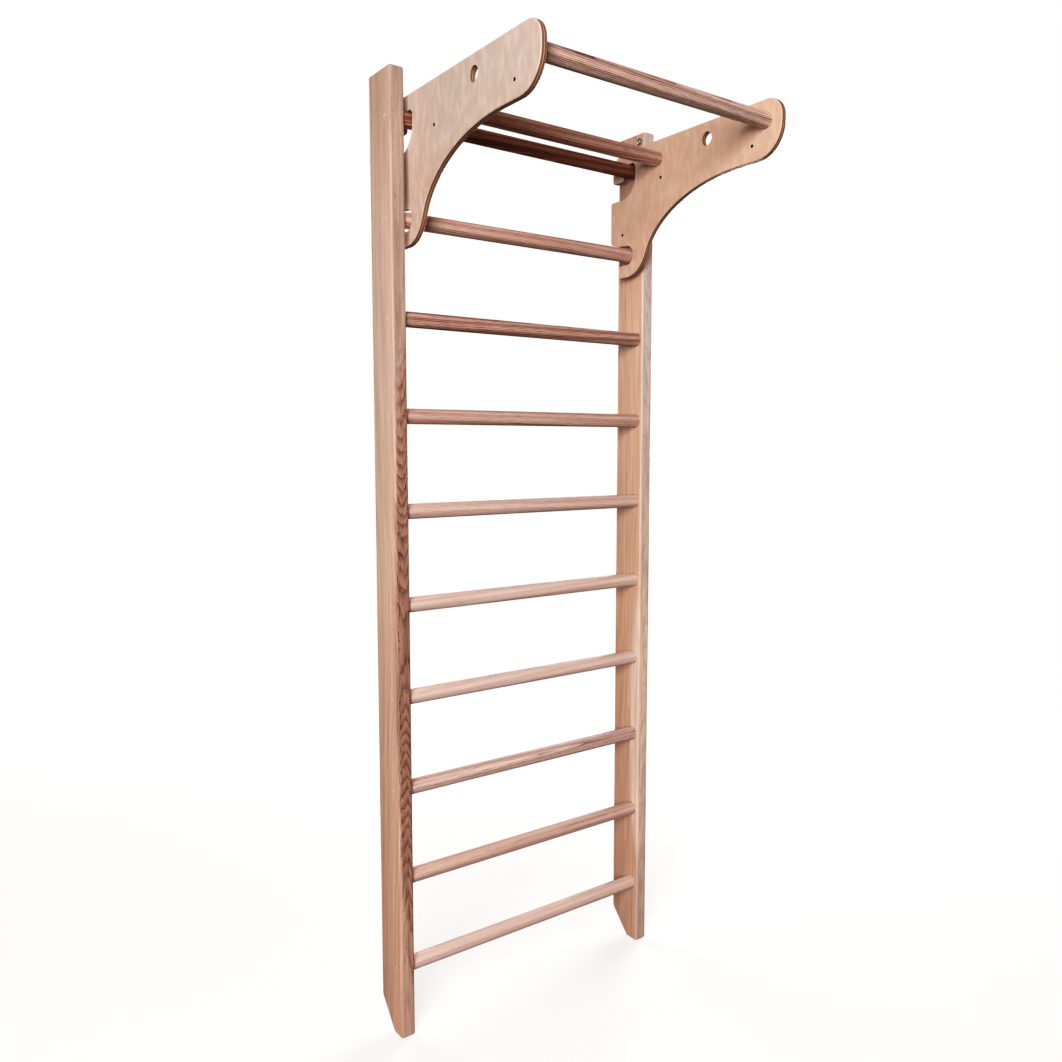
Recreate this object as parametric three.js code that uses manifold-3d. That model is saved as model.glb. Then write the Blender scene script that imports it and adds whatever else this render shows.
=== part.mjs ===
// Swedish wall bars with a pull-up frame that hooks over the two top rungs.
// Millimetres, +Z up, +X to the right. The wall is the plane y = 0, the floor is z = 0
// and the front of the ladder faces -Y. The origin is midway between the posts.
import * as THREE from 'three';
import { mergeVertices } from 'three/addons/utils/BufferGeometryUtils.js';
import Module from 'manifold-3d';

const wasm = await Module();
wasm.setup();

// Ladder
const LADDER_WIDTH = 774;
const POST_DEPTH = 100;
const POST_THICKNESS = 36;
const POST_EDGE_RADIUS = 6;
const POST_ABOVE_TOP_RUNG = 100;
const SKIRTING_CUT_HEIGHT = 67;
const SKIRTING_CUT_DEPTH = 60;
const RUNG_COUNT = 10;
const RUNG_DIAMETER = 35;
const RUNG_SPACING = 215;
const LOWEST_RUNG_HEIGHT = 165;
const RUNG_SETBACK = 25;
const RUNG_SOCKET_FLOOR = 12;
const PIN_DIAMETER = 8;
const PIN_DEPTH_IN_RUNG = 28;

// Screw and washer near the top of each post's inner face
const SCREW_BELOW_TOP = 21;
const SCREW_SETBACK = 19;
const SCREW_HEAD_DIAMETER = 12;
const SCREW_HEAD_HEIGHT = 4;
const SCREW_HEAD_RIM = 1.2;
const SCREW_SHANK_DIAMETER = 6;
const SCREW_TIP_LENGTH = 5;
const SCREW_TIP_COVER = 7;
const SCREW_CROSS_SPAN = 6.5;
const SCREW_CROSS_WIDTH = 1.4;
const SCREW_CROSS_DEPTH = 2;
const WASHER_DIAMETER = 19;
const WASHER_THICKNESS = 1.6;

// Pull-up frame across the ladder
const FRAME_SIDE_GAP = 17.5;
const BRACKET_THICKNESS = 15;
const BAR_DIAMETER = 35;
const BAR_SOCKET_FLOOR = 5;

// Bracket outline, seen from the side and measured from the top rung's axis
const ARM_REACH = 496;
const ARM_ABOVE_RUNG = 52;
const ARM_DEPTH = 127;
const NOSE_TOP_RADIUS = 43;
const NOSE_LOWER_RADIUS = 70;
const ARM_FLAT_LENGTH = 50;
const THROAT_PULL = 150;
const LEG_WALL = 47;
const LEG_ANGLE = THREE.MathUtils.degToRad(68);
const LEG_PULL = 93;
const LIP_PULL = 35;
const LIP_TOE_PULL = 38;
const LIP_FLAT_LENGTH = 27;
const LIP_BEHIND_RUNG = 37;
const LIP_THICKNESS = 33;
const LIP_CORNER_RADIUS = 4;
const SLOT_CLEARANCE = 4.5;
const SLOT_RISE = 4;
const SLOT_CONTACT_GAP = 0.5;
const SPINE_WALL_GAP = 7;
const SPINE_CORNER = 6;
const MOUTH_CLEARANCE = 11;
const POCKET_RADIUS = 55;
const POCKET_FRONT_CLEARANCE = 7.5;
const POCKET_CORNER_RADIUS = 13;
const SEAT_CLEARANCE = 0.5;
const FINGER_DROP = 22;
const FINGER_TIP_RADIUS = 10;
const FINGER_HEEL_RADIUS = 8;
const HOOK_WALL_GAP = 14;
const HOOK_BACK_RADIUS = 45;

// Bars and holes of the bracket
const BAR_ABOVE_RUNG = 5;
const FRONT_BAR_BEHIND_NOSE = 44;
const REAR_BAR_FORWARD = 108;
const ROPE_HOLE_DIAMETER = 32;
const ROPE_HOLE_BEHIND_BAR = 177;
const ROPE_HOLE_BELOW_TOP = 39.5;
const SMALL_HOLE_DIAMETER = 7;
const NOSE_HOLE_BEHIND_BAR = 38;
const NOSE_HOLE_ABOVE_EDGE = 35;
const ARM_HOLE_FORWARD_OF_BAR = 12.5;
const ARM_HOLE_BELOW_BAR = 46.5;
const LEG_HOLE_BEHIND_RUNG = 21;
const LEG_HOLE_ABOVE_RUNG = 57;

// Fits and facets
const FIT_GAP = 0.3;
const CUT_OVERRUN = 2;
const WELD_DISTANCE = 1e-4;
const BAR_SIDES = 36;
const PIN_SIDES = 12;
const SCREW_SIDES = 20;
const SCREW_DOME_SHARES = [1, 0.9, 0.7, 0.35];
const POST_EDGE_STEPS = 3;
const OUTLINE_PITCH = 7;
const OUTLINE_TURN = THREE.MathUtils.degToRad(20);

// Places worked out from the sizes above
const SIDES = { left: -1, right: 1 };
const RIGHT_ANGLE = Math.PI / 2;
const FULL_TURN = 2 * Math.PI;
const innerWidth = LADDER_WIDTH - 2 * POST_THICKNESS;
const rungRadius = RUNG_DIAMETER / 2;
const rungStandoff = POST_DEPTH - RUNG_SETBACK;
const topRungHeight = LOWEST_RUNG_HEIGHT + (RUNG_COUNT - 1) * RUNG_SPACING;
const postHeight = topRungHeight + POST_ABOVE_TOP_RUNG;
const rungSocketDepth = POST_THICKNESS - RUNG_SOCKET_FLOOR;
const pinLength = RUNG_SOCKET_FLOOR + FIT_GAP + PIN_DEPTH_IN_RUNG;
const barSocketDepth = BRACKET_THICKNESS - BAR_SOCKET_FLOOR;
const armBottom = ARM_ABOVE_RUNG - ARM_DEPTH;
const bracketOuterX = innerWidth / 2 - FRAME_SIDE_GAP;
const bracketInnerX = bracketOuterX - BRACKET_THICKNESS;
const frontBar = new THREE.Vector2(ARM_REACH - FRONT_BAR_BEHIND_NOSE, BAR_ABOVE_RUNG);
const rearBar = new THREE.Vector2(REAR_BAR_FORWARD, BAR_ABOVE_RUNG);

const rungHeight = (number) => topRungHeight - (number - 1) * RUNG_SPACING;
const numbers = (count) => Array.from({ length: count }, (_, i) => i + 1);

// Finishes
const POST_COLOR = 0xd0ae99;
const RUNG_COLOR = 0xc79c86;
const PIN_COLOR = 0xe6cdb8;
const PLYWOOD_COLOR = 0xdcc0ad;
const STEEL_COLOR = 0xb9bbbd;
const VARNISH_ROUGHNESS = 0.5;
const STEEL_ROUGHNESS = 0.35;

const wood = (color) => new THREE.MeshStandardMaterial({ color, roughness: VARNISH_ROUGHNESS });
const steel = () => new THREE.MeshStandardMaterial({
  color: STEEL_COLOR,
  roughness: STEEL_ROUGHNESS,
  metalness: 1,
});

// Solids for joining and cutting

function toSolid(geometry) {
  const bare = geometry.clone();
  bare.deleteAttribute('normal');
  bare.deleteAttribute('uv');
  const merged = mergeVertices(bare, WELD_DISTANCE);
  const vertProperties = new Float32Array(merged.attributes.position.array);
  const triVerts = new Uint32Array(merged.index.array);
  return new wasm.Manifold(new wasm.Mesh({ numProp: 3, vertProperties, triVerts }));
}

function toGeometry(solid) {
  const { vertProperties, triVerts } = solid.getMesh();
  const geometry = new THREE.BufferGeometry();
  geometry.setAttribute('position', new THREE.BufferAttribute(vertProperties, 3));
  geometry.setIndex(new THREE.BufferAttribute(triVerts, 1));
  geometry.computeVertexNormals();
  return geometry;
}

function cut(geometry, tools) {
  const solid = tools.reduce((rest, tool) => rest.subtract(toSolid(tool)), toSolid(geometry));
  return toGeometry(solid);
}

// A round bar along X between two x values, on the axis (y, z)
function barBetween(x0, x1, y, z, diameter, sides) {
  const bar = new THREE.CylinderGeometry(diameter / 2, diameter / 2, Math.abs(x1 - x0), sides);
  return bar.rotateZ(RIGHT_ANGLE).translate((x0 + x1) / 2, y, z);
}

// Steps that a curve is drawn in: one for a line, and for a bend enough that none is long or turns far
function curveSteps(curve) {
  if (curve.isLineCurve) return 1;
  const turn = curve.isEllipseCurve ? Math.abs(curve.aEndAngle - curve.aStartAngle) : 0;
  return Math.ceil(Math.max(curve.getLength() / OUTLINE_PITCH, turn / OUTLINE_TURN));
}

function pathPoints(path) {
  return path.curves.flatMap((curve) => curve.getPoints(curveSteps(curve)).slice(0, -1));
}

// A plate cut from a side view: outline x is forward (-Y), outline y is up (+Z), centred on x = 0
function sidePlate(outline, holes, thickness) {
  const shape = new THREE.Shape(pathPoints(outline));
  shape.holes = holes.map((hole) => new THREE.Path(pathPoints(hole)));
  const plate = new THREE.ExtrudeGeometry(shape, { depth: thickness, bevelEnabled: false });
  const forward = new THREE.Vector3(0, -1, 0);
  const up = new THREE.Vector3(0, 0, 1);
  const across = new THREE.Vector3(-1, 0, 0);
  return plate.translate(0, 0, -thickness / 2)
    .applyMatrix4(new THREE.Matrix4().makeBasis(forward, up, across));
}

function addMesh(group, name, geometry, material) {
  const mesh = new THREE.Mesh(geometry, material);
  mesh.name = name;
  group.add(mesh);
  return mesh;
}

// Ladder: posts, rungs and the pins that lock the rungs

function postSection() {
  const halfWidth = POST_THICKNESS / 2;
  const r = Math.min(POST_EDGE_RADIUS, halfWidth);
  const section = new THREE.Shape();
  section.absarc(halfWidth - r, -POST_DEPTH + r, r, -RIGHT_ANGLE, 0);
  section.absarc(halfWidth - r, -r, r, 0, RIGHT_ANGLE);
  section.absarc(-halfWidth + r, -r, r, RIGHT_ANGLE, 2 * RIGHT_ANGLE);
  section.absarc(-halfWidth + r, -POST_DEPTH + r, r, 2 * RIGHT_ANGLE, 3 * RIGHT_ANGLE);
  return section;
}

function skirtingWedge() {
  const slope = SKIRTING_CUT_HEIGHT / SKIRTING_CUT_DEPTH;
  const wedge = new THREE.Shape();
  wedge.moveTo(-CUT_OVERRUN, SKIRTING_CUT_HEIGHT + CUT_OVERRUN * slope);
  wedge.lineTo(SKIRTING_CUT_DEPTH + CUT_OVERRUN, -CUT_OVERRUN * slope);
  wedge.lineTo(-CUT_OVERRUN, -CUT_OVERRUN * slope);
  wedge.closePath();
  return sidePlate(wedge, [], POST_THICKNESS + 2 * CUT_OVERRUN);
}

function postGeometry(side) {
  const plank = new THREE.ExtrudeGeometry(postSection(), {
    depth: postHeight,
    bevelEnabled: false,
    curveSegments: POST_EDGE_STEPS,
  });
  const innerFace = -side * POST_THICKNESS / 2;
  const outerFace = side * POST_THICKNESS / 2;
  const socketEnd = innerFace + side * rungSocketDepth;
  const past = side * CUT_OVERRUN;
  const cuts = [skirtingWedge()];
  for (const number of numbers(RUNG_COUNT)) {
    const z = rungHeight(number);
    const socket = RUNG_DIAMETER + 2 * FIT_GAP;
    const pinHole = PIN_DIAMETER + 2 * FIT_GAP;
    cuts.push(barBetween(innerFace - past, socketEnd, -rungStandoff, z, socket, BAR_SIDES));
    cuts.push(barBetween(socketEnd - past, outerFace + past, -rungStandoff, z, pinHole, PIN_SIDES));
  }
  const screwHole = SCREW_SHANK_DIAMETER + 2 * FIT_GAP;
  const screwEnd = outerFace - side * (SCREW_TIP_COVER - FIT_GAP);
  const screwY = -(POST_DEPTH - SCREW_SETBACK);
  const screwZ = postHeight - SCREW_BELOW_TOP;
  cuts.push(barBetween(innerFace - past, screwEnd, screwY, screwZ, screwHole, SCREW_SIDES));
  return cut(plank, cuts);
}

function rungGeometry() {
  const halfLength = innerWidth / 2 + rungSocketDepth - FIT_GAP;
  const pinHole = PIN_DIAMETER + 2 * FIT_GAP;
  const pinEnd = halfLength - PIN_DEPTH_IN_RUNG - FIT_GAP;
  const rung = barBetween(-halfLength, halfLength, 0, 0, RUNG_DIAMETER, BAR_SIDES);
  const holes = Object.values(SIDES).map((side) =>
    barBetween(side * pinEnd, side * (halfLength + CUT_OVERRUN), 0, 0, pinHole, PIN_SIDES));
  return cut(rung, holes);
}

function pinGeometry() {
  return barBetween(-pinLength / 2, pinLength / 2, 0, 0, PIN_DIAMETER, PIN_SIDES);
}

// Screws and washers, turned about Y with the head towards +Y and the seat at y = 0

function washerGeometry() {
  const inner = SCREW_SHANK_DIAMETER / 2 + FIT_GAP;
  const outer = WASHER_DIAMETER / 2;
  const profile = [[inner, 0], [outer, 0], [outer, WASHER_THICKNESS], [inner, WASHER_THICKNESS], [inner, 0]];
  return toGeometry(toSolid(lathe(profile)));
}

function screwGeometry() {
  const headRadius = SCREW_HEAD_DIAMETER / 2;
  const shankRadius = SCREW_SHANK_DIAMETER / 2;
  const dome = SCREW_HEAD_HEIGHT - SCREW_HEAD_RIM;
  const shankLength = POST_THICKNESS - SCREW_TIP_COVER + WASHER_THICKNESS + FIT_GAP;
  const domePoints = SCREW_DOME_SHARES.map((share) =>
    [headRadius * Math.sin(share * RIGHT_ANGLE), SCREW_HEAD_RIM + dome * Math.cos(share * RIGHT_ANGLE)]);
  const profile = [
    [0, -shankLength],
    [shankRadius, -shankLength + SCREW_TIP_LENGTH],
    [shankRadius, 0],
    [headRadius, 0],
    ...domePoints,
    [0, SCREW_HEAD_HEIGHT],
  ];
  const crossTop = SCREW_HEAD_HEIGHT + CUT_OVERRUN;
  const crossHeight = SCREW_CROSS_DEPTH + CUT_OVERRUN;
  const arms = [0, RIGHT_ANGLE].map((turn) =>
    new THREE.BoxGeometry(SCREW_CROSS_SPAN, crossHeight, SCREW_CROSS_WIDTH)
      .rotateY(turn).translate(0, crossTop - crossHeight / 2, 0));
  return cut(lathe(profile), arms);
}

function lathe(profile) {
  return new THREE.LatheGeometry(profile.map(([x, y]) => new THREE.Vector2(x, y)), SCREW_SIDES);
}

function buildLadder() {
  const ladder = new THREE.Group();
  const postX = (LADDER_WIDTH - POST_THICKNESS) / 2;
  for (const [name, side] of Object.entries(SIDES)) {
    const post = addMesh(ladder, `${name}_post`, postGeometry(side), wood(POST_COLOR));
    post.position.x = side * postX;

    const seat = new THREE.Group();
    seat.position.set(side * innerWidth / 2, -(POST_DEPTH - SCREW_SETBACK), postHeight - SCREW_BELOW_TOP);
    seat.rotation.z = side * RIGHT_ANGLE;
    ladder.add(seat);
    const washer = addMesh(seat, `${name}_top_washer`, washerGeometry(), steel());
    washer.position.y = FIT_GAP;
    const screw = addMesh(seat, `${name}_top_screw`, screwGeometry(), steel());
    screw.position.y = WASHER_THICKNESS + 2 * FIT_GAP;
  }
  for (const number of numbers(RUNG_COUNT)) {
    const rung = addMesh(ladder, `rung_${number}`, rungGeometry(), wood(RUNG_COLOR));
    rung.position.set(0, -rungStandoff, rungHeight(number));
    for (const [name, side] of Object.entries(SIDES)) {
      const pin = addMesh(ladder, `${name}_rung_pin_${number}`, pinGeometry(), wood(PIN_COLOR));
      pin.position.set(side * (LADDER_WIDTH - pinLength) / 2, -rungStandoff, rungHeight(number));
    }
  }
  return ladder;
}

// Pull-up frame: two plywood brackets and two bars

// The hook seats on the top rung with its finger behind it. The slot closes on the second rung from
// the front, and its upper edge is an arc about the top rung, so the frame can swing off the slot.
function bracketOutline() {
  const top = ARM_ABOVE_RUNG;
  const noseTop = Math.min(NOSE_TOP_RADIUS, ARM_DEPTH / 2);
  const noseLower = Math.min(NOSE_LOWER_RADIUS, ARM_DEPTH - noseTop);
  const throatStart = ARM_REACH - noseLower - ARM_FLAT_LENGTH;

  const slotRadius = rungRadius + SLOT_CLEARANCE;
  const slot = new THREE.Vector2(rungRadius + SLOT_CONTACT_GAP - slotRadius, -RUNG_SPACING);
  const legFront = rungRadius + SLOT_CONTACT_GAP + LEG_WALL;
  const legLine = new THREE.Vector2(Math.cos(LEG_ANGLE), Math.sin(LEG_ANGLE));
  const slotTop = slot.y + SLOT_RISE + slotRadius;
  const lipTop = slot.y - slotRadius;
  const lipBottom = lipTop - LIP_THICKNESS;
  const lipBack = -LIP_BEHIND_RUNG;
  const lipFlatFront = lipBack + LIP_FLAT_LENGTH;

  const seatRadius = rungRadius + SEAT_CLEARANCE;
  const fingerTip = -FINGER_DROP;
  const hookBack = -(rungStandoff - HOOK_WALL_GAP);
  const fingerWidth = -seatRadius - hookBack;
  const tip = Math.min(FINGER_TIP_RADIUS, fingerWidth / 2);
  const heel = Math.min(FINGER_HEEL_RADIUS, fingerWidth / 2);
  const back = Math.min(HOOK_BACK_RADIUS, top - fingerTip - heel);
  const mouthFloor = fingerTip - RUNG_DIAMETER - MOUTH_CLEARANCE;
  const pocketFront = rungRadius + POCKET_FRONT_CLEARANCE;

  const spineBack = -(rungStandoff - SPINE_WALL_GAP);
  const swingRadius = Math.hypot(slot.x, slotTop);
  const swingStart = Math.atan2(slotTop, slot.x);
  const spineBottom = -Math.sqrt(swingRadius ** 2 - spineBack ** 2);
  const swingEnd = Math.atan2(spineBottom, spineBack) + SPINE_CORNER / swingRadius;

  const outline = new THREE.Shape();
  outline.moveTo(hookBack + back, top);
  outline.absarc(ARM_REACH - noseTop, top - noseTop, noseTop, RIGHT_ANGLE, 0, true);
  outline.absarc(ARM_REACH - noseLower, armBottom + noseLower, noseLower, 0, -RIGHT_ANGLE, true);
  outline.lineTo(throatStart, armBottom);
  outline.bezierCurveTo(
    throatStart - THROAT_PULL, armBottom,
    legFront + LEG_PULL * legLine.x, slot.y + LEG_PULL * legLine.y,
    legFront, slot.y);
  outline.bezierCurveTo(
    legFront - LIP_PULL * legLine.x, slot.y - LIP_PULL * legLine.y,
    lipFlatFront + LIP_TOE_PULL, lipBottom,
    lipFlatFront, lipBottom);

  const lipCornerX = lipBack + LIP_CORNER_RADIUS;
  outline.absarc(lipCornerX, lipBottom + LIP_CORNER_RADIUS, LIP_CORNER_RADIUS, -RIGHT_ANGLE, -Math.PI, true);
  outline.absarc(lipCornerX, lipTop - LIP_CORNER_RADIUS, LIP_CORNER_RADIUS, Math.PI, RIGHT_ANGLE, true);
  outline.absarc(slot.x, slot.y, slotRadius, -RIGHT_ANGLE, 0, false);
  outline.absarc(slot.x, slotTop - slotRadius, slotRadius, 0, RIGHT_ANGLE, false);
  outline.absarc(0, 0, swingRadius, swingStart, swingEnd, true);
  outline.quadraticCurveTo(spineBack, spineBottom, spineBack, spineBottom + SPINE_CORNER);
  outline.lineTo(spineBack, mouthFloor - SPINE_CORNER);
  outline.quadraticCurveTo(spineBack, mouthFloor, spineBack + SPINE_CORNER, mouthFloor);

  const cornerX = pocketFront - POCKET_CORNER_RADIUS;
  const cornerY = seatRadius - POCKET_CORNER_RADIUS;
  const pocket = Math.min(POCKET_RADIUS, cornerY - mouthFloor, pocketFront - spineBack - SPINE_CORNER);
  outline.absarc(pocketFront - pocket, mouthFloor + pocket, pocket, -RIGHT_ANGLE, 0, false);
  outline.absarc(cornerX, cornerY, POCKET_CORNER_RADIUS, 0, RIGHT_ANGLE, false);
  outline.absarc(0, 0, seatRadius, RIGHT_ANGLE, Math.PI, false);

  outline.absarc(-seatRadius - tip, fingerTip + tip, tip, 0, -RIGHT_ANGLE, true);
  outline.absarc(hookBack + heel, fingerTip + heel, heel, -RIGHT_ANGLE, -Math.PI, true);
  outline.absarc(hookBack + back, top - back, back, Math.PI, RIGHT_ANGLE, true);
  outline.closePath();
  return outline;
}

function roundHole(x, y, diameter) {
  return new THREE.Path().absarc(x, y, diameter / 2, 0, FULL_TURN);
}

function bracketGeometry(side) {
  const ropeX = frontBar.x - ROPE_HOLE_BEHIND_BAR;
  const ropeY = ARM_ABOVE_RUNG - ROPE_HOLE_BELOW_TOP;
  const holes = [
    roundHole(ropeX, ropeY, ROPE_HOLE_DIAMETER),
    roundHole(frontBar.x - NOSE_HOLE_BEHIND_BAR, armBottom + NOSE_HOLE_ABOVE_EDGE, SMALL_HOLE_DIAMETER),
    roundHole(rearBar.x + ARM_HOLE_FORWARD_OF_BAR, rearBar.y - ARM_HOLE_BELOW_BAR, SMALL_HOLE_DIAMETER),
    roundHole(-LEG_HOLE_BEHIND_RUNG, -RUNG_SPACING + LEG_HOLE_ABOVE_RUNG, SMALL_HOLE_DIAMETER),
  ];

  const innerFace = -side * BRACKET_THICKNESS / 2;
  const socketMouth = innerFace - side * CUT_OVERRUN;
  const socketEnd = innerFace + side * barSocketDepth;
  const socket = BAR_DIAMETER + 2 * FIT_GAP;
  const sockets = [frontBar, rearBar].map((bar) =>
    barBetween(socketMouth, socketEnd, -bar.x, bar.y, socket, BAR_SIDES));
  return cut(sidePlate(bracketOutline(), holes, BRACKET_THICKNESS), sockets);
}

function buildPullUpFrame() {
  const frame = new THREE.Group();
  frame.position.set(0, -rungStandoff, rungHeight(1));
  for (const [name, side] of Object.entries(SIDES)) {
    const bracket = addMesh(frame, `${name}_bracket`, bracketGeometry(side), wood(PLYWOOD_COLOR));
    bracket.position.x = side * (bracketOuterX + bracketInnerX) / 2;
  }
  const halfLength = bracketInnerX + barSocketDepth - FIT_GAP;
  for (const [name, bar] of Object.entries({ front_bar: frontBar, rear_bar: rearBar })) {
    const geometry = barBetween(-halfLength, halfLength, 0, 0, BAR_DIAMETER, BAR_SIDES);
    const mesh = addMesh(frame, name, geometry, wood(RUNG_COLOR));
    mesh.position.set(0, -bar.x, bar.y);
  }
  return frame;
}

const wallBars = new THREE.Group();
wallBars.add(buildLadder(), buildPullUpFrame());

export default wallBars;
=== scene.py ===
# %% [markdown]
# # Swedish wall bars
# A gym ladder for the wall: two planks on edge, ten round rungs between them, and a plywood frame with
# two more bars that hooks over the top rungs for pull-ups. This lesson dresses a finished CAD model of
# it. The CAD gives every piece its place and size, and the cells below give it rounded edges, grain,
# varnish and light, one piece at a time.

# %% [markdown]
# ## The frame
# Everything starts from the measured solids. They are loaded once and never moved or reshaped. Where a
# piece needs finer edges than its solid, a new mesh is laid exactly over it and takes its part in the
# picture. All lengths are metres, with the wall at y = 0, the floor at z = 0 and the room towards -y.

# %% Load the frame
import math

import bmesh
import bpy
import numpy as np
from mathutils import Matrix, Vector


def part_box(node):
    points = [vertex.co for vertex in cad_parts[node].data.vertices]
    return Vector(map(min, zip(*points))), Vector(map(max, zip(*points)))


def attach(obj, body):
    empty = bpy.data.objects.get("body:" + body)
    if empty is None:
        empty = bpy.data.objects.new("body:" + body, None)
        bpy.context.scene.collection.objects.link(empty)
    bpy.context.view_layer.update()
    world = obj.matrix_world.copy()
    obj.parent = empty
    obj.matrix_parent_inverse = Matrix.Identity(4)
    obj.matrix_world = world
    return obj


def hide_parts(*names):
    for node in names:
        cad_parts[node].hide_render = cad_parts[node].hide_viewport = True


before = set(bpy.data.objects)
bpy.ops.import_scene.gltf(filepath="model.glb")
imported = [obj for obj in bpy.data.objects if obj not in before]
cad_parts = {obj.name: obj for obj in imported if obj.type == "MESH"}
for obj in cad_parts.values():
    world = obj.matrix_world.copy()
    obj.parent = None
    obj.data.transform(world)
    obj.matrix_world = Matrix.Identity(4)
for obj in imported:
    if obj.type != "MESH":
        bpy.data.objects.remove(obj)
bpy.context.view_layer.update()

# %% [markdown]
# ## The camera
# A camera is described best by what it does: where it stands, which way it looks and how much it takes
# in. The lens comes from a focal length counted in pixels of a square picture, because that is what a
# fit to known points gives. Lens length is then the same share of the sensor's width.

# %% Camera
PICTURE_SIDE_PX = 1062
FOCAL_PX = 924.24
SENSOR_MM = 36.0
CAMERA_PLACE = Vector((-1.3475, -1.9365, 1.3914))
CAMERA_YAW = math.radians(54.0)
CAMERA_PITCH = math.radians(-5.335)


def aim(yaw, pitch):
    """Unit vector at an angle yaw from +x towards +y, raised by pitch."""
    flat = math.cos(pitch)
    return Vector((flat * math.cos(yaw), flat * math.sin(yaw), math.sin(pitch)))


camera_data = bpy.data.cameras.new("camera")
camera_data.sensor_width = SENSOR_MM
camera_data.lens = FOCAL_PX / PICTURE_SIDE_PX * SENSOR_MM
camera = bpy.data.objects.new("camera", camera_data)
camera.location = CAMERA_PLACE
camera.rotation_mode = "QUATERNION"
camera.rotation_quaternion = aim(CAMERA_YAW, CAMERA_PITCH).to_track_quat("-Z", "Y")
bpy.context.scene.collection.objects.link(camera)
bpy.context.scene.camera = camera
print(f"camera: {camera_data.lens:.1f} mm lens")

# %% [markdown]
# ## Shader maths as Python
# Node trees get long when every sum is a node placed by hand. The class below wraps one output socket,
# so that `1 - mask * 0.4` writes the Math nodes by itself. Its `node` method adds any other kind of
# node: settings first, then values or links for its inputs.


# %% A socket that can do sums
class Wire:
    """One output socket of a shader node. Arithmetic on it adds Math nodes to its tree."""

    def __init__(self, socket):
        self.socket = socket

    def node(self, kind, settings=(), inputs=(), output=0):
        """Adds a node of this kind to the tree and returns the chosen output as a Wire."""
        tree = self.socket.id_data
        made = tree.nodes.new("ShaderNode" + kind)
        for key, value in dict(settings).items():
            setattr(made, key, value)
        for key, value in dict(inputs).items():
            if isinstance(value, Wire):
                tree.links.new(value.socket, made.inputs[key])
            else:
                made.inputs[key].default_value = value
        return Wire(made.outputs[output])

    def maths(self, operation, *terms):
        """A Math node of that operation on the terms."""
        return self.node("Math", {"operation": operation}, enumerate(terms))

    def __add__(self, other):
        return self.maths("ADD", self, other)

    def __sub__(self, other):
        return self.maths("SUBTRACT", self, other)

    def __rsub__(self, other):
        return self.maths("SUBTRACT", other, self)

    def __mul__(self, other):
        return self.maths("MULTIPLY", self, other)

    def __truediv__(self, other):
        return self.maths("DIVIDE", self, other)

    def __pow__(self, other):
        return self.maths("POWER", self, other)

    def __abs__(self):
        return self.maths("ABSOLUTE", self)

    __radd__ = __add__
    __rmul__ = __mul__


def new_finish(name):
    """An empty material, and a Wire of the Object coordinates in its tree."""
    material = bpy.data.materials.new(name)
    material.use_nodes = True
    tree = material.node_tree
    tree.nodes.clear()
    return material, Wire(tree.nodes.new("ShaderNodeTexCoord").outputs["Object"])


print("shader maths ready:", Wire.__doc__)

# %% [markdown]
# ## A few helpers for finishes
# Three things come up in every wood. A noise that is drawn out along the grain, a soft step that turns
# a number into a mask, and a mix of two colours. Noise is measured in millimetres, so a grain that is
# 120 mm long and 1 mm wide is written just so.


# %% Noise, masks and mixing
def axes(place):
    """The three parts of a vector, each as a Wire."""
    split = place.node("SeparateXYZ", inputs={0: place})
    return [Wire(out) for out in split.socket.node.outputs]


def joined(along, across, through):
    """A vector of three numbers or Wires."""
    first = next(part for part in (along, across, through) if isinstance(part, Wire))
    return first.node("CombineXYZ", inputs=enumerate((along, across, through)))


def noise(place, along, across, detail=2.0):
    """Noise from 0 to 1 with grains `along` mm in the first direction and `across` mm in the others."""
    shrink = (1 / along, 1 / across, 1 / across)
    shrunk = place.node("VectorMath", {"operation": "MULTIPLY"}, {0: place, 1: shrink})
    return shrunk.node("TexNoise", inputs={"Vector": shrunk, "Scale": 1.0, "Detail": detail})


def soft_step(value, low, high):
    """0 below low, 1 above high, with a smooth S between them."""
    limits = {"Value": value, "From Min": low, "From Max": high}
    return value.node("MapRange", {"interpolation_type": "SMOOTHSTEP"}, limits)


def mix(share, first, second):
    """first where share is 0, second where share is 1. Both are colours, as tuples or Wires."""
    first, second = [(*c, 1.0) if isinstance(c, tuple) else c for c in (first, second)]
    return share.node("Mix", {"data_type": "RGBA"}, {0: share, 6: first, 7: second}, output=2)


def shaded(colour, amount):
    """A colour with each part multiplied by amount."""
    return colour.node("VectorMath", {"operation": "SCALE"}, {0: colour, "Scale": amount})


def show(surface):
    """Links a shader to the output of its material."""
    tree = surface.socket.id_data
    tree.links.new(surface.socket, tree.nodes.new("ShaderNodeOutputMaterial").inputs["Surface"])


def varnish(material, colour, roughness, height, relief, metallic=0.0, gloss=0.35):
    """Closes a finish: a Principled surface with that colour, roughness, relief in metres and gloss."""
    bump = height.node("Bump", inputs={"Height": height, "Distance": relief})
    varied = {"Base Color": colour, "Roughness": roughness, "Normal": bump}
    plain = {"Metallic": metallic, "Specular IOR Level": gloss}
    show(height.node("BsdfPrincipled", inputs={**varied, **plain}))
    print("finish:", material.name, "with", len(material.node_tree.nodes), "nodes")
    return material


MM = 1000.0


def in_millimetres(place):
    """The same place, counted in millimetres."""
    return place.node("VectorMath", {"operation": "SCALE"}, {0: place, "Scale": MM})


print("finishes are drawn in units of", 1 / MM, "m")

# %% [markdown]
# ## How a tree shows in a plank
# Wood is a solid pattern, so the honest way is to work out where each point sat in the trunk. Call that
# the log coordinate: how far along the trunk, and how far across it from the pith in two directions.
# Growth rings are then simply the distance from the pith, divided by the width of a ring. A plank cut
# side-on to the rings shows straight lines, and one cut flat to them shows long wavy flames.


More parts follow.
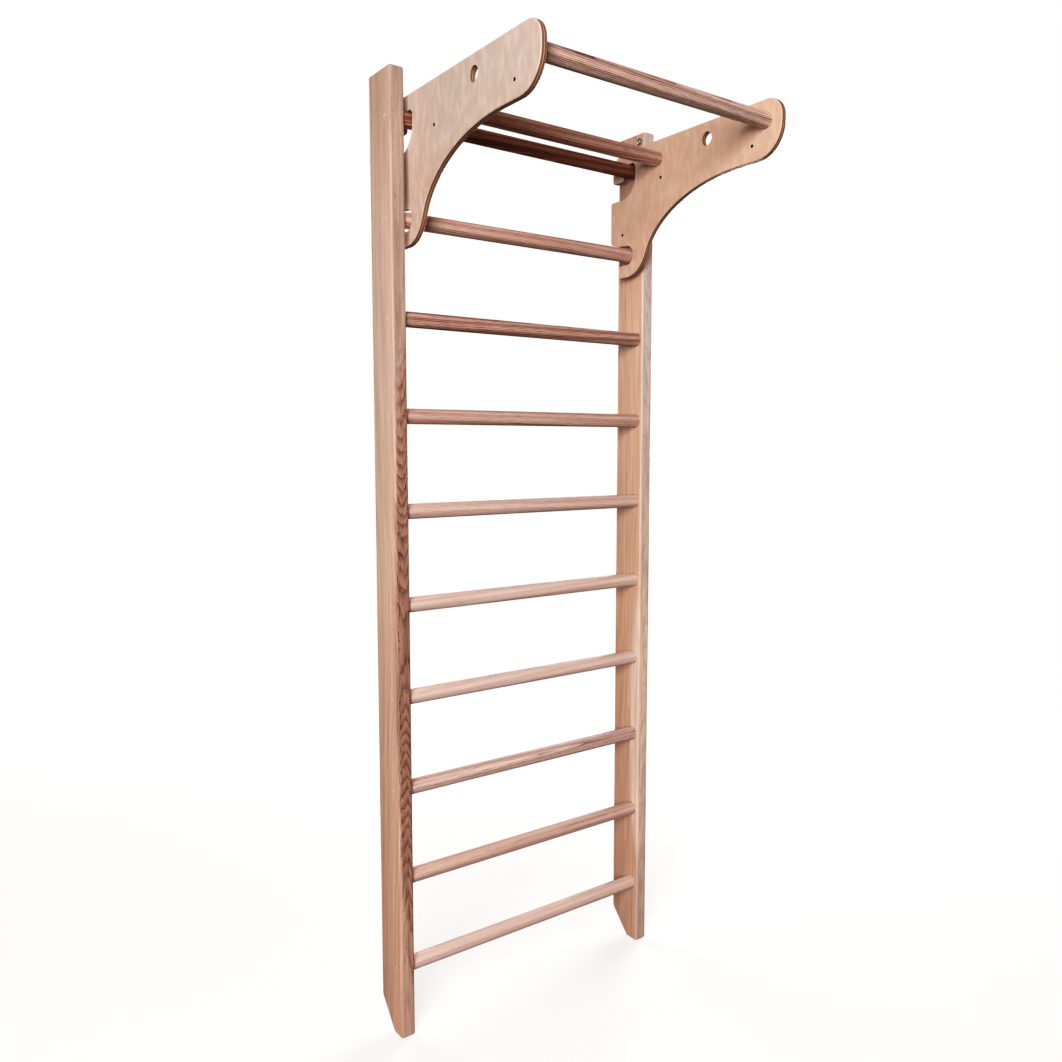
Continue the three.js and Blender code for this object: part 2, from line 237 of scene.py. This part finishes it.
# %% Growth rings
def pith_distance(log, sway, ripple):
    """Distance from the pith in mm, bent by a slow sway of the trunk and a quick ripple, also in mm."""
    flat = log.node("VectorMath", {"operation": "MULTIPLY"}, {0: log, 1: (0.0, 1.0, 1.0)})
    radius = flat.node("VectorMath", {"operation": "LENGTH"}, {0: flat}, output="Value")
    slow = (noise(log, 420, 45) - 0.5) * sway
    quick = (noise(log, 60, 9, detail=1) - 0.5) * ripple
    return radius + slow + quick


def early_wood(distance, ring, sharpness=3.0):
    """1 at the start of each ring, falling to 0 at its end: (1 - fract(distance / ring)) ^ sharpness."""
    phase = distance.maths("FRACT", distance / ring)
    return (1 - phase) ** sharpness


print("rings:", pith_distance.__doc__)


# %% [markdown]
# ## Turned bars
# A rung is a straight dowel with eased ends, and a small blind hole in each end for a locking pin. That
# is a surface of revolution: a profile of lengths and radii, swept round the bar's axis. A cylinder
# primitive would have hard ends and no holes. Each bar also remembers the place in the log that it was
# cut from, so no two look alike although they share one finish.


# %% A profile swept round an axis
def eased(end, radius, inward, ease, steps=5):
    """Profile points of an end: its flat rim, a quarter round of radius ease, and the start of the wall."""
    turn = np.linspace(0, math.pi / 2, steps)
    x = end + inward * ease * (1 - np.sin(turn))
    r = radius - ease * (1 - np.cos(turn))
    rows = np.stack([x, r], 1)[::-1]
    rim = [[end, radius - 1.3 * ease]]
    wall = [[end + inward * 1.3 * ease, radius]]
    return np.vstack([rim, rows, wall])


def turned(name, low, high, ease, bore=None, sides=64):
    """Surface of revolution along a box's x axis: p(i, j) = (x_i, y + r_i cos t_j, z + r_i sin t_j)."""
    radius = (high[2] - low[2]) / 2
    near = eased(low[0], radius, 1, ease)
    if bore:
        bore_radius, depth = bore
        floor = low[0] + depth
        wall = [[floor, bore_radius], [low[0] + ease, bore_radius], [low[0], bore_radius + 0.2 * ease]]
        near = np.vstack([wall, near])
    far = near[::-1] * [-1, 1] + [low[0] + high[0], 0]
    x, r = np.vstack([near, far]).T
    t = np.linspace(0, 2 * math.pi, sides, endpoint=False)
    y = (low[1] + high[1]) / 2 + r[:, None] * np.cos(t)
    z = (low[2] + high[2]) / 2 + r[:, None] * np.sin(t)
    rows = np.stack([np.broadcast_to(x[:, None], y.shape), y, z], -1)
    centre = [(low[1] + high[1]) / 2, (low[2] + high[2]) / 2]
    poles = np.array([[x[0], *centre], [x[-1], *centre]])
    points = np.vstack([rows.reshape(-1, 3), poles])
    i, j = np.meshgrid(np.arange(len(x) - 1), np.arange(sides), indexing="ij")
    k = (j + 1) % sides
    quads = np.stack([i * sides + j, i * sides + k, (i + 1) * sides + k, (i + 1) * sides + j], -1)
    ring = np.arange(sides)
    after = (ring + 1) % sides
    last = (len(x) - 1) * sides
    first_fan = np.stack([np.full(sides, len(points) - 2), after, ring], -1)
    last_fan = np.stack([np.full(sides, len(points) - 1), last + ring, last + after], -1)
    mesh = bpy.data.meshes.new(name)
    mesh.from_pydata(points, [], quads.reshape(-1, 4).tolist() + first_fan.tolist() + last_fan.tolist())
    mesh.polygons.foreach_set("use_smooth", np.ones(len(mesh.polygons), bool))
    piece = bpy.data.objects.new(name, mesh)
    bpy.context.scene.collection.objects.link(piece)
    return piece


def points_of(piece):
    """All vertices of a piece as an array of rows x, y, z."""
    found = np.empty(len(piece.data.vertices) * 3)
    piece.data.vertices.foreach_get("co", found)
    return found.reshape(-1, 3)


def remember(piece, name, values):
    """Stores one number or one vector for each vertex under that name."""
    kind, key = ("FLOAT", "value") if np.ndim(values) == 1 else ("FLOAT_VECTOR", "vector")
    made = piece.data.attributes.new(name, kind, "POINT")
    made.data.foreach_set(key, np.asarray(values, np.float32).ravel())


def stand_in(piece, node, body, finish):
    """The piece takes the CAD node's place on its body, in that finish."""
    piece.data.materials.append(finish)
    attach(piece, body)
    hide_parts(node)


print("turned shapes:", turned.__doc__)

# %% [markdown]
# ## Ash for the rungs
# The rungs are a pinkish ash: pale late wood, and darker early wood full of short open pores. From some
# bars it shows as fine lines, from others as long flames. The finish reads the log coordinate that each
# bar carries, and a tone that makes one bar a little browner than the next. On the top rung and the two
# pull-up bars that tone and the boldness of the lines also carry painted shade and painted bounced
# light. Pores go into the relief too, because varnish sinks into them.

# %% Rung finish
RUNG_PALE = (0.785, 0.605, 0.545)
RUNG_BROWN = (0.47, 0.205, 0.13)
RUNG_DARK = (0.15, 0.045, 0.025)
RUNG_RING_MM = 3.2
RUNG_FLAME_MM = 15.0


def rung_finish():
    """Ash: fine rings and broad flames on a pale ground, drawn in the log coordinate of each bar."""
    material, place = new_finish("varnished_ash")
    log = place.node("Attribute", {"attribute_name": "log"}, output="Vector")
    tone = place.node("Attribute", {"attribute_name": "tone"}, output="Fac")
    line_boldness_and_shade = place.node("Attribute", {"attribute_name": "line_boldness_and_shade"}, output="Fac")
    distance = pith_distance(log, 11.0, 1.3)
    early = early_wood(distance, RUNG_RING_MM, 1.5)
    flame = soft_step(early_wood(distance, RUNG_FLAME_MM, 1.0), 0.35, 0.75)
    fibre = noise(log, 180, 1.6, detail=4)
    pores = soft_step(noise(log, 24, 1.1), 0.5, 0.66) * (early * 0.8 + 0.2)
    streak = noise(log, 400, 9) - 0.5
    # The tone is each bar's wood tone; on the top rung and the pull-up bars it also holds painted shade and
    # painted bounced light.
    ground = mix(tone + streak * 0.6, RUNG_PALE, RUNG_BROWN)
    # The line boldness darkens the grain lines; on the top rung it is raised as painted shade.
    lined = mix((early * 0.7 + pores * 0.6 + flame * 0.35) * line_boldness_and_shade, ground, RUNG_DARK)
    colour = shaded(lined, fibre * 0.4 + 0.82)
    roughness = 0.36 + fibre * 0.14 + pores * 0.2
    return varnish(material, colour, roughness, fibre * 0.4 - pores, 0.00012)


ash = rung_finish()

# %% [markdown]
# ## Ten rungs and two bars
# All twelve come off the same lathe, so one loop turns them from the boxes of their solids. What makes
# each its own is where it lay in the trunk. Turning the bar in the log decides whether its front shows
# straight lines or long flames, and a tone from left to right lets one end be browner than the other.
# On the rear bar that ramp is painted shade of the left bracket over its left part, and on the front bar
# and the second rung it is painted bounced light at the right end. The top rung's dark tone and bold
# lines are painted shade from the rear bar.

# %% Rungs and bars
RUNG_EASE = 0.0015
PIN_HOLE = (0.0043, 0.0283)
LOG_SEED = 7
chance = np.random.default_rng(LOG_SEED)


def cut_from_log(piece, end_tones_and_shade, line_boldness_and_shade, turn):
    """Gives a bar its log coordinate in mm, turned by some degrees, and a tone from left to right; on some
    bars that tone is painted light and shade.
    """
    points = points_of(piece) * MM
    middle = points.mean(0)
    spin = math.radians(turn)
    reach, slant = chance.uniform([24, -0.035], [70, 0.035])
    along = points[:, 0] + chance.uniform(0, 9000)
    y, z = (points - middle)[:, 1:].T
    across = y * math.cos(spin) - z * math.sin(spin) + reach + slant * points[:, 0]
    through = y * math.sin(spin) + z * math.cos(spin)
    remember(piece, "log", np.stack([along, across, through], 1))
    remember(piece, "tone", np.interp(points[:, 0], [points[:, 0].min(), points[:, 0].max()], end_tones_and_shade))
    remember(piece, "line_boldness_and_shade", np.full(len(points), line_boldness_and_shade))


RUNG_LOOKS = {
    # The top rung's dark tone and bold lines are painted shade from the rear bar in front of it.
    1: ((0.9, 1.0), 1.8, 90),
    # Rung 2 is browner towards its right end as painted warm bounced light.
    2: ((0.34, 0.44), 0.7, 80),
    3: ((0.42, 0.42), 1.1, 62),
    4: ((0.35, 0.33), 0.65, 95),
    5: ((0.15, 0.15), 0.5, 100),
    6: ((0.03, 0.03), 0.38, 90),
    7: ((0.0, 0.0), 0.36, 80),
    8: ((0.06, 0.06), 0.7, 30),
    9: ((0.31, 0.31), 0.5, 35),
    10: ((0.12, 0.12), 0.3, 85),
}
# The rear bar is dark, most on the left, as painted shade of the left bracket and the front bar; the front
# bar's lighter right end is painted bounced light.
BAR_LOOKS = {"front_bar": ((0.16, 0.08), 0.95, 40), "rear_bar": ((0.95, 0.45), 0.9, 80)}
for number, looks in RUNG_LOOKS.items():
    node = f"rung_{number}"
    rung = turned(f"turned_{node}", *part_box(node), RUNG_EASE, bore=PIN_HOLE)
    cut_from_log(rung, *looks)
    stand_in(rung, node, "ladder", ash)
for node, looks in BAR_LOOKS.items():
    bar = turned(f"turned_{node}", *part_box(node), RUNG_EASE)
    cut_from_log(bar, *looks)
    stand_in(bar, node, "pull_up_frame", ash)
print("turned:", len(RUNG_LOOKS), "rungs and", len(BAR_LOOKS), "bars")

# %% [markdown]
# ## Edges that were sanded
# The posts and brackets are cut from flat stock, and their solids are already the right shape, holes
# and all. What they lack is the rounding that catches the light. So the solid is copied, its loose
# triangles are welded into faces, and a bevel rounds the sharp edges. How far each edge is rounded is
# stored on the edge itself, as a bevel weight from 0 to 1. A hole can then stay crisp while the outline
# round it is softened. Weighted normals keep the big faces looking flat.


# %% A sanded copy of a solid
SHARP = math.radians(40)


def welded(name, node):
    """A copy of the node's shape with its loose triangles merged and its flat faces made whole."""
    shape = bmesh.new()
    shape.from_mesh(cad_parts[node].data)
    bmesh.ops.remove_doubles(shape, verts=shape.verts, dist=1e-6)
    bmesh.ops.dissolve_limit(shape, angle_limit=math.radians(0.5), verts=shape.verts, edges=shape.edges)
    mesh = bpy.data.meshes.new(name)
    shape.to_mesh(mesh)
    shape.free()
    mesh.polygons.foreach_set("use_smooth", np.ones(len(mesh.polygons), bool))
    piece = bpy.data.objects.new(name, mesh)
    bpy.context.scene.collection.objects.link(piece)
    return piece


def read(items, key, columns=1, kind=np.int32):
    """One property of all the items, as an array with that many columns."""
    found = np.empty(len(items) * columns, kind)
    items.foreach_get(key, found)
    return found.reshape(-1, columns) if columns > 1 else found


def edges_of(piece):
    """The middle of each edge, and whether the two faces beside it meet at a sharp angle."""
    mesh = piece.data
    middles = points_of(piece)[read(mesh.edges, "vertices", 2)].mean(1)
    face_of_corner = np.repeat(np.arange(len(mesh.polygons)), read(mesh.polygons, "loop_total"))
    pairs = face_of_corner[np.argsort(read(mesh.loops, "edge_index"), kind="stable")].reshape(-1, 2)
    normals = read(mesh.polygons, "normal", 3, np.float32)[pairs]
    turn = (normals[:, 0] * normals[:, 1]).sum(1)
    return middles, turn < math.cos(SHARP)


def sanded(piece, width, weights, segments=3):
    """Rounds each edge of a piece to its weight's share of width."""
    stored = piece.data.attributes.new("bevel_weight_edge", "FLOAT", "EDGE")
    stored.data.foreach_set("value", np.asarray(weights, np.float32))
    bevel = piece.modifiers.new("sanded edges", "BEVEL")
    bevel.width = width
    bevel.segments = segments
    bevel.limit_method = "WEIGHT"
    bevel.use_clamp_overlap = False
    piece.modifiers.new("flat faces", "WEIGHTED_NORMAL").weight = 100
    print("sanded:", piece.name, "along", np.count_nonzero(weights), "edges")


print("sharp means more than", round(math.degrees(SHARP)), "degrees")

# %% [markdown]
# ## Posts
# Each post is a planed plank of pale hardwood. Its wide faces are cut across the rings and show fine
# straight lines. Its narrow front edge lies along them, and as no trunk is quite straight, the rings run
# out through it as nested arches. So the pith is given a bow: it is farthest at one height and comes
# nearer above and below, like a bell curve. An ellipsoid marks where the wood changes, which is brown
# heart in the left plank's front edge and cream sapwood along the front of the right one.

# %% Post finish
POST_LINE = (0.07, 0.02, 0.012)


def patch(solid, centre, radii, wobble):
    """1 inside an ellipsoid of those radii about a centre, in mm. Wobble makes its edge uneven."""
    offset = solid.node("VectorMath", {"operation": "SUBTRACT"}, {0: solid, 1: centre})
    scaled = offset.node("VectorMath", {"operation": "DIVIDE"}, {0: offset, 1: radii})
    reach = scaled.node("VectorMath", {"operation": "LENGTH"}, {0: scaled}, output="Value")
    return 1 - soft_step(reach + wobble, 0.86, 1.14)


def post_finish(name, pith, bow, ring, top, middle, foot, edge, heart, lines):
    """Plank wood about a pith at (x, y) in mm, coloured from top to foot, on its edge and in a heart, and
    darkened towards the wall as painted shade.
    """
    material, place = new_finish(name)
    solid = in_millimetres(place)
    x, y, z = axes(solid)
    height, spread, depth = bow
    rise = (z - height) / spread
    away = rise.maths("EXPONENT", rise * rise * -1.0) * depth
    log = joined(z, x - pith[0], y - pith[1] + away)
    jag = (noise(log, 11, 2.2, detail=3) - 0.5) * 2.4
    early = early_wood(pith_distance(log, 8.0, 2.0) + jag, ring, 2.4)
    fibre = noise(log, 200, 2.4, detail=4)
    streak = noise(log, 260, 7, detail=3)
    cloud = noise(log, 220, 32)
    pores = soft_step(noise(log, 16, 1.2), 0.5, 0.66)
    stroke = soft_step(noise(log, 70, 3.2, detail=3), 0.54, 0.72)
    centre, radii, heart_colour = heart
    core = patch(solid, centre, radii, (noise(log, 120, 12) - 0.5) * 0.5)
    # From foot to top the colour follows the given colours; the left plank's darker top is partly painted
    # shade.
    wide = mix(soft_step(z, 900, 1700), mix(soft_step(z, 50, 900), foot, middle), top)
    tinted = mix(soft_step(cloud, 0.35, 0.65) * 0.2, wide, middle)
    # The front edge takes the edge colour, more of it towards the top; on the right plank that grey-pink
    # colour is partly wood and partly painted cool light.
    front = (1 - soft_step(y, -99, -95)) * (soft_step(z, 900, 1900) * 0.4 + 0.45)
    cored = mix(core, mix(front, tinted, edge), heart_colour)
    strength = lines[0] + core * (lines[1] - lines[0])
    drawn = (early * soft_step(streak, 0.2, 0.45) + stroke * 0.6) * strength
    lined = mix(drawn + pores * early * 0.12, cored, POST_LINE)
    # The term with y darkens the colour by up to 0.17 towards the wall side as painted shade.
    colour = shaded(lined, fibre * 0.5 + streak * 0.9 - soft_step(y, -90, -10) * 0.17 + 0.37)
    roughness = 0.38 + fibre * 0.14
    return varnish(material, colour, roughness, fibre * 0.5 - early * 0.3 - pores * 0.3, 0.00008)


# %% [markdown]
# ## Two planks
# The planks differ only in their trees, so a table holds the pith, the bow and the colours of each. Some
# of these colours are painted light: the left plank's darker top is partly painted shade, and the right
# plank's grey-pink front edge is partly painted cool light. The ends of a plank get more sandpaper than
# its holes: the foot and the cut for the skirting board are rounded most, the top a little less, and the
# mouths of the sockets hardly at all.

# %% Posts
POST_GRAIN = {
    "left": {
        "pith": (-370.0, -140.0),
        "bow": (950.0, 460.0, 46.0),
        "ring": 2.3,
        # Darker than the middle, partly as painted shade.
        "top": (0.53, 0.36, 0.275),
        "middle": (0.63, 0.42, 0.315),
        "foot": (0.64, 0.385, 0.28),
        "edge": (0.37, 0.265, 0.22),
        "heart": ((-351.0, -100.0, 900.0), (38.0, 14.0, 720.0), (0.37, 0.205, 0.15)),
        "lines": (0.26, 0.9),
    },
    "right": {
        "pith": (372.0, -155.0),
        "bow": (1300.0, 800.0, 30.0),
        "ring": 1.9,
        "top": (0.62, 0.395, 0.285),
        "middle": (0.59, 0.365, 0.25),
        "foot": (0.57, 0.34, 0.245),
        # Grey-pink edge colour: partly wood and partly painted cool light on the front edge.
        "edge": (0.58, 0.505, 0.485),
        "heart": ((362.0, -105.0, 640.0), (26.0, 42.0, 400.0), (0.72, 0.535, 0.44)),
        "lines": (0.26, 0.26),
    },
}
POST_ROUND = 0.0045
POST_FOOT = 0.10
TOP_SHARE = 0.65
HOLE_SHARE = 0.13
for side, grain in POST_GRAIN.items():
    node = f"{side}_post"
    post = welded(f"planed_{node}", node)
    middles, sharp = edges_of(post)
    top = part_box(node)[1][2]
    rim = np.where(middles[:, 2] > top - POST_ROUND, TOP_SHARE, HOLE_SHARE)
    sanded(post, POST_ROUND, sharp * np.where(middles[:, 2] < POST_FOOT, 1.0, rim))
    stand_in(post, node, "ladder", post_finish(f"varnished_{side}_plank", **grain))

# %% [markdown]
# ## Plywood brackets
# Plywood is thin sheets of veneer glued with their grain crossed. On the face one sees a single peeled
# sheet, pale with a faint wild figure. The upper part of each face is paler and the lower part more
# orange, partly the veneer's own colour and partly painted light on the upper part. On the cut edge one
# sees them all, light and dark in turn with a thin line of glue between. The layer at a point depends
# only on its depth below the face, so depth is worked out from x and the edges need no separate material.
# The outline is well rounded over, while the holes keep a crisp rim. The small holes are painted near
# black inside as painted shade.

# %% Plywood finish
PLY_CORE = (0.50, 0.30, 0.21)
PLY_CROSS = (0.21, 0.085, 0.042)
PLY_GLUE = (0.05, 0.02, 0.012)
PLY_SPECK = (0.30, 0.16, 0.10)
PLY_LAYERS = 5
PAINTED_HOLE_SHADE = (0.015, 0.009, 0.006)
SMALL_HOLES = ((-0.489, 2.060), (-0.1955, 2.0585), (-0.054, 1.942))
SMALL_HOLE_RADIUS = 0.0035


def small_hole(y, z):
    """1 on the wall of the small holes, from the distance to the nearest of their axes."""
    from_axes = []
    for hole_y, hole_z in SMALL_HOLES:
        offset = joined(y - hole_y * MM, z - hole_z * MM, 0.0)
        from_axes.append(offset.node("VectorMath", {"operation": "LENGTH"}, {0: offset}, output="Value"))
    nearest = from_axes[0].maths("MINIMUM", from_axes[0], from_axes[1].maths("MINIMUM", *from_axes[1:]))
    return 1 - soft_step(nearest, SMALL_HOLE_RADIUS * MM, SMALL_HOLE_RADIUS * MM + 0.6)


def plywood_finish(name, low, high, face, figure, pale):
    """Veneer layers stacked along x between low and high, counted from 0 to PLY_LAYERS."""
    material, place = new_finish(name)
    x, y, z = axes(in_millimetres(place))
    depth = (x - low * MM) * (PLY_LAYERS / ((high - low) * MM))
    inside = depth.maths("MINIMUM", depth.maths("MAXIMUM", depth, 0.01), PLY_LAYERS - 0.01)
    layer = depth.maths("FLOOR", inside)
    crossed = depth.maths("MODULO", layer, 2.0)
    from_glue = abs(depth.maths("FRACT", depth + 0.5) - 0.5)
    half = PLY_LAYERS / 2
    buried = 1 - soft_step(abs(depth - half), half - 1.03, half - 0.97)
    within = 1 - soft_step(abs(depth - half), half - 0.8, half - 0.7)
    glue = (1 - soft_step(from_glue, 0.08, 0.17)) * within
    sheet = joined(z, y, layer * 40.0)
    peel = noise(sheet, 260, 60, detail=3)
    rings = early_wood(peel * 14.0, 1.0, 1.5)
    mottle = noise(sheet, 40, 16, detail=4)
    fibre = noise(sheet, 70, 1.0, detail=4)
    fleck = soft_step(noise(sheet, 7, 1.6), 0.64, 0.74)
    # The upper part of the face takes the paler face colour, partly the veneer's own colour and partly
    # painted light; below it the figure colour is used.
    below_painted_glare = 1 - soft_step(z, 1900, 2110)
    figured = mix(rings * 0.2 + soft_step(peel, 0.3, 0.7) * 0.2 + below_painted_glare * 0.55, face, figure)
    ground = mix(soft_step(mottle, 0.42, 0.75) * 0.4, figured, pale)
    veneer = mix(buried, mix(fleck * 0.3, ground, PLY_SPECK), PLY_CORE)
    stacked = mix(crossed * (fibre * 0.3 + 0.7), veneer, PLY_CROSS)
    glued = mix(glue * 0.9, stacked, PLY_GLUE)
    # Painted shade: the walls of the small holes are filled with a near-black colour.
    with_painted_hole_shade = mix(small_hole(y, z), glued, PAINTED_HOLE_SHADE)
    colour = shaded(with_painted_hole_shade, fibre * 0.35 + mottle * 0.4 + 0.62)
    roughness = 0.40 + fibre * 0.1 + crossed * 0.15
    return varnish(material, colour, roughness, fibre * 0.4 - glue - fleck * 0.5, 0.00008)


# %% [markdown]
# ## Two brackets
# Each bracket is cut from one sheet with a router, which leaves a soft rounded edge all along the
# outline. Sockets and holes are drilled from the flat and stay crisp. So every edge on a rim is told
# apart by its distance from the axis of a hole, and gets a smaller share of the rounding.


# %% Brackets
def bored_edges(middles):
    """Whether each edge lies on the rim of a hole: a bar's socket, the rope hole or a small hole."""
    rims = [(y, z, SMALL_HOLE_RADIUS) for y, z in SMALL_HOLES]
    for low, high in [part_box("front_bar"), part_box("rear_bar"), ROPE_HOLE]:
        rims.append(((low[1] + high[1]) / 2, (low[2] + high[2]) / 2, (high[2] - low[2]) / 2))
    y, z, radius = np.array(rims).T
    away = np.hypot(middles[:, 1:2] - y, middles[:, 2:3] - z)
    return (away < radius + 0.001).any(1)


BRACKET_ROUND = 0.0028
RIM_SHARE = 0.15
ROPE_HOLE = ((0.0, -0.366, 2.0965), (0.0, -0.334, 2.1285))
# Face, figure and pale colours of each bracket; the face colour on the upper part is partly painted light.
BRACKET_FACES = {
    "left": ((0.54, 0.43, 0.375), (0.53, 0.36, 0.27), (0.62, 0.53, 0.48)),
    "right": ((0.64, 0.435, 0.325), (0.58, 0.365, 0.265), (0.65, 0.48, 0.39)),
}
for side, colours in BRACKET_FACES.items():
    node = f"{side}_bracket"
    low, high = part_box(node)
    bracket = welded(f"sanded_{node}", node)
    middles, sharp = edges_of(bracket)
    on_face = np.abs(middles[:, 0] - (low[0] + high[0]) / 2) > 0.49 * (high[0] - low[0])
    sanded(bracket, BRACKET_ROUND, sharp * on_face * np.where(bored_edges(middles), RIM_SHARE, 1.0))
    plywood = plywood_finish(f"{side}_birch_plywood", low[0], high[0], *colours)
    stand_in(bracket, node, "pull_up_frame", plywood)

# %% [markdown]
# ## Pins
# A short dowel is driven through each post into the end of the rung and cut off flush. Only its end
# shows, as a pale dot. It is the same turned shape as a rung, only smaller, and its end grain is a cut
# across the log.

# %% Pins
PIN_PALE = (0.68, 0.49, 0.39)
PIN_DARK = (0.46, 0.28, 0.20)


def pin_finish():
    """Pale dowel: fine pores over the end, faint fibres along the side."""
    material, place = new_finish("pale_dowel")
    log = in_millimetres(place)
    pores = soft_step(noise(log, 8, 0.5), 0.5, 0.7)
    fibre = noise(log, 40, 0.8, detail=3)
    colour = shaded(mix(pores * 0.4, PIN_PALE, PIN_DARK), fibre * 0.2 + 0.9)
    return varnish(material, colour, 0.5 + fibre * 0.12, fibre * 0.4 - pores, 0.00006)


PIN_EASE = 0.0004
dowel = pin_finish()
pins = [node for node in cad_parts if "_rung_pin_" in node]
for node in pins:
    pin = turned(f"cut_{node}", *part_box(node), PIN_EASE, sides=32)
    stand_in(pin, node, "ladder", dowel)
print("cut:", len(pins), "pins")

# %% [markdown]
# ## Screws and washers
# Near the top of each post sits a cross-head screw on a washer. They are bright plated steel, so colour
# matters less than gloss: a metal surface with a little roughness that changes in fine streaks. The
# solids have the right shape, and a tiny bevel gives their rims a glint.

# %% Steel
STEEL = (0.58, 0.57, 0.555)
STEEL_DULL = (0.42, 0.41, 0.40)


def steel_finish():
    """Plated steel with faint mottling."""
    material, place = new_finish("plated_steel")
    mottle = noise(in_millimetres(place), 2.5, 2.5, detail=4)
    return varnish(material, mix(mottle, STEEL, STEEL_DULL), 0.32 + mottle * 0.2, mottle, 0.00002, 1.0)


steel = steel_finish()
FASTENER_RIM = 0.0002
for node in [f"{side}_top_{kind}" for side in ("left", "right") for kind in ("screw", "washer")]:
    fastener = welded(f"bright_{node}", node)
    sanded(fastener, FASTENER_RIM, edges_of(fastener)[1], 2)
    stand_in(fastener, node, "ladder", steel)

# %% [markdown]
# ## Floor and sky
# The ladder stands in a bright studio. The floor is a pale disc that fades out into a white sky, so no
# horizon cuts the picture. As a light, the floor and the sky are much dimmer than they look, and warm,
# because a white floor would throw light up under the rungs and flatten their shape.

# %% Floor and sky
FLOOR_RADIUS = 9.0
FLOOR_FADE = (1.2, 4.0)
FLOOR_SEEN = (0.90, 0.895, 0.885, 1.0)
FLOOR_GLOW = 0.6
FLOOR_BOUNCE = (0.07, 0.05, 0.04, 1.0)
SKY_LIGHT = 0.085
SKY_TINT = (1.0, 0.5, 0.28, 1.0)
WHITE = (1.0, 1.0, 1.0, 1.0)


def stage_floor(sides=96):
    """A disc at z = 0: a fan of corners R (cos t, sin t) about its middle, see-through towards the rim."""
    t = np.linspace(0, 2 * math.pi, sides, endpoint=False)
    rim = np.stack([FLOOR_RADIUS * np.cos(t), FLOOR_RADIUS * np.sin(t), 0 * t], 1)
    corner = np.arange(sides)
    fan = np.stack([np.full(sides, sides), corner, (corner + 1) % sides], 1)
    mesh = bpy.data.meshes.new("floor")
    mesh.from_pydata(np.vstack([rim, [[0, 0, 0]]]), [], fan.tolist())
    floor = bpy.data.objects.new("floor", mesh)
    bpy.context.scene.collection.objects.link(floor)
    return floor


def floor_finish():
    """Pale and matt to the eye, dim to bounced light, fading to nothing with distance from the middle."""
    material, place = new_finish("studio_floor")
    distance = place.node("VectorMath", {"operation": "LENGTH"}, {0: place}, output="Value")
    faded = soft_step(distance, *FLOOR_FADE)
    seen = place.node("LightPath", output="Is Camera Ray")
    plain = place.node("BsdfDiffuse", inputs={"Color": FLOOR_SEEN})
    bright = place.node("Emission", inputs={"Color": WHITE})
    pale = place.node("MixShader", inputs={0: FLOOR_GLOW, 1: plain, 2: bright})
    dim = place.node("BsdfDiffuse", inputs={"Color": FLOOR_BOUNCE})
    clear = place.node("BsdfTransparent")
    matt = place.node("MixShader", inputs={0: seen, 1: dim, 2: pale})
    show(place.node("MixShader", inputs={0: faded * seen, 1: matt, 2: clear}))
    return material


def studio_sky():
    """A white world: full strength to the camera, weak as a light."""
    world = bpy.data.worlds.new("studio")
    world.use_nodes = True
    tree = world.node_tree
    tree.nodes.clear()
    seen = Wire(tree.nodes.new("ShaderNodeLightPath").outputs["Is Camera Ray"])
    dim = seen.node("Background", inputs={"Color": SKY_TINT, "Strength": SKY_LIGHT})
    bright = seen.node("Background", inputs={"Color": WHITE})
    sky = seen.node("MixShader", inputs={0: seen, 1: dim, 2: bright})
    tree.links.new(sky.socket, tree.nodes.new("ShaderNodeOutputWorld").inputs["Surface"])
    bpy.context.scene.world = world


stage_floor().data.materials.append(floor_finish())
studio_sky()
print("stage: a floor of", FLOOR_RADIUS, "m and a sky of strength", SKY_LIGHT)

# %% [markdown]
# ## Lamps and contrast
# One big soft lamp stands on the left, at the height of the pull-up bars, so that they shade each other
# and the rungs throw short shadows on the far post. A second one overhead lights the tops of the rungs.
# Weaker lamps behind and on the right light the sides that the main camera does not see. Studio pictures
# are printed with some contrast, so a tone curve darkens the shadows and lifts the lights a little.


# %% Lamps and contrast
def soft_lamp(name, place, target, size, watts, colour=(1.0, 1.0, 1.0)):
    """A square area light at a place, turned to face a target."""
    data = bpy.data.lights.new(name, "AREA")
    data.color = colour
    data.energy = watts
    data.size = size
    lamp = bpy.data.objects.new(name, data)
    lamp.location = place
    lamp.rotation_mode = "QUATERNION"
    lamp.rotation_quaternion = (Vector(target) - Vector(place)).to_track_quat("-Z", "Y")
    bpy.context.scene.collection.objects.link(lamp)


def picture_contrast(curve_points):
    """A tone curve for the finished picture, through (0, 0), these points and (1, 1), in linear light."""
    settings = bpy.context.scene.view_settings
    settings.view_transform = "Standard"
    settings.use_curve_mapping = True
    mapping = settings.curve_mapping
    for place in curve_points:
        mapping.curves[3].points.new(*place)
    mapping.update()


CONTRAST = ((0.05, 0.026), (0.1, 0.065), (0.2, 0.158), (0.35, 0.33), (0.5, 0.51), (0.7, 0.725))
LAMPS = {
    "key": ((-3.6, -3.3, 2.25), (0, -0.1, 1.1), 2.2, 318),
    "overhead": ((-0.5, -1.1, 5.2), (0, -0.1, 1.0), 2.6, 22),
    "front_fill": ((2.8, -4.4, 1.8), (0, 0, 1.0), 3.0, 30, (1.0, 0.75, 0.55)),
    "right_fill": ((4.2, 1.9, 2.2), (0, 0, 1.2), 2.8, 280),
    "back_fill": ((-0.3, 4.9, 2.0), (0, 0, 1.2), 3.0, 140),
}
for name, lamp in LAMPS.items():
    soft_lamp(name, *lamp)
picture_contrast(CONTRAST)
print("lamps:", ", ".join(LAMPS))
